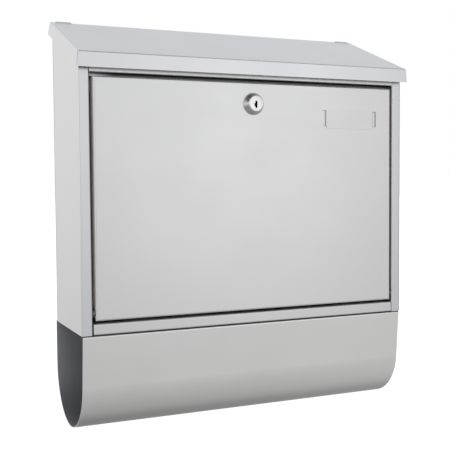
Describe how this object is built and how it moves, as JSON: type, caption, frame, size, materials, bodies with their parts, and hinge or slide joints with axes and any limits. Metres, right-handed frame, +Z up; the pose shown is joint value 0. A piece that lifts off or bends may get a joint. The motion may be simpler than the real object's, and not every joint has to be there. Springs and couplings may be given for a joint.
{
  "type": "wall mounted mailbox",
  "caption": "Folded stainless wall mailbox with a hinged sloping roof, a drop-down door with a cam lock and name plate, and an open U-shaped newspaper holder below.",
  "frame": {"origin": "centre of the four wall screw holes, on the wall's surface (the spacers' rear faces)", "axes": "+X to the right seen from the front, +Y into the wall so the door faces -Y, +Z up"},
  "size_m": [0.3854, 0.1269, 0.4343],
  "materials": {
    "stainless": "fine horizontal brushed grain",
    "holder_stainless": "fine horizontal brushed grain",
    "plate": "satin",
    "lock_chrome": "satin front, polished flank",
    "zinc": "zinc plated",
    "black_rubber": "matt black"
  },
  "bodies": {
    "housing": {"back_panel": "stainless", "left_side_panel": "stainless", "right_side_panel": "stainless", "floor_panel": "stainless", "top_rail": "stainless", "left_hinge_bracket": "stainless", "right_hinge_bracket": "stainless", "bracket_rivets": "zinc", "hinge_rod": "zinc", "lid_bumpers": "black_rubber", "door_pivot_pins": "zinc", "door_pivot_washers": "zinc", "newspaper_holder": "holder_stainless", "holder_screws": "zinc", "holder_nuts": "zinc", "wall_spacers": "black_rubber"},
    "roof": {"roof_lid": "stainless"},
    "door": {"door_panel": "stainless", "name_plate": "plate", "lock_barrel": "lock_chrome", "lock_nut": "zinc"},
    "lock": {"lock_plug": "lock_chrome", "lock_cam": "zinc", "cam_screw": "zinc"}
  },
  "joints": [
    {"name": "roof_hinge", "type": "hinge", "parent": "housing", "child": "roof", "pos_m": [0, -0.00748, 0.1655], "axis": [-1, 0, 0], "range_deg": [0, 110]},
    {"name": "door_hinge", "type": "hinge", "parent": "housing", "child": "door", "pos_m": [0, -0.113, -0.138], "axis": [1, 0, 0], "range_deg": [0, 115]},
    {"name": "lock_turn", "type": "hinge", "parent": "door", "child": "lock", "pos_m": [0, -0.118, 0.0752], "axis": [0, -1, 0], "range_deg": [0, 90]}
  ]
}
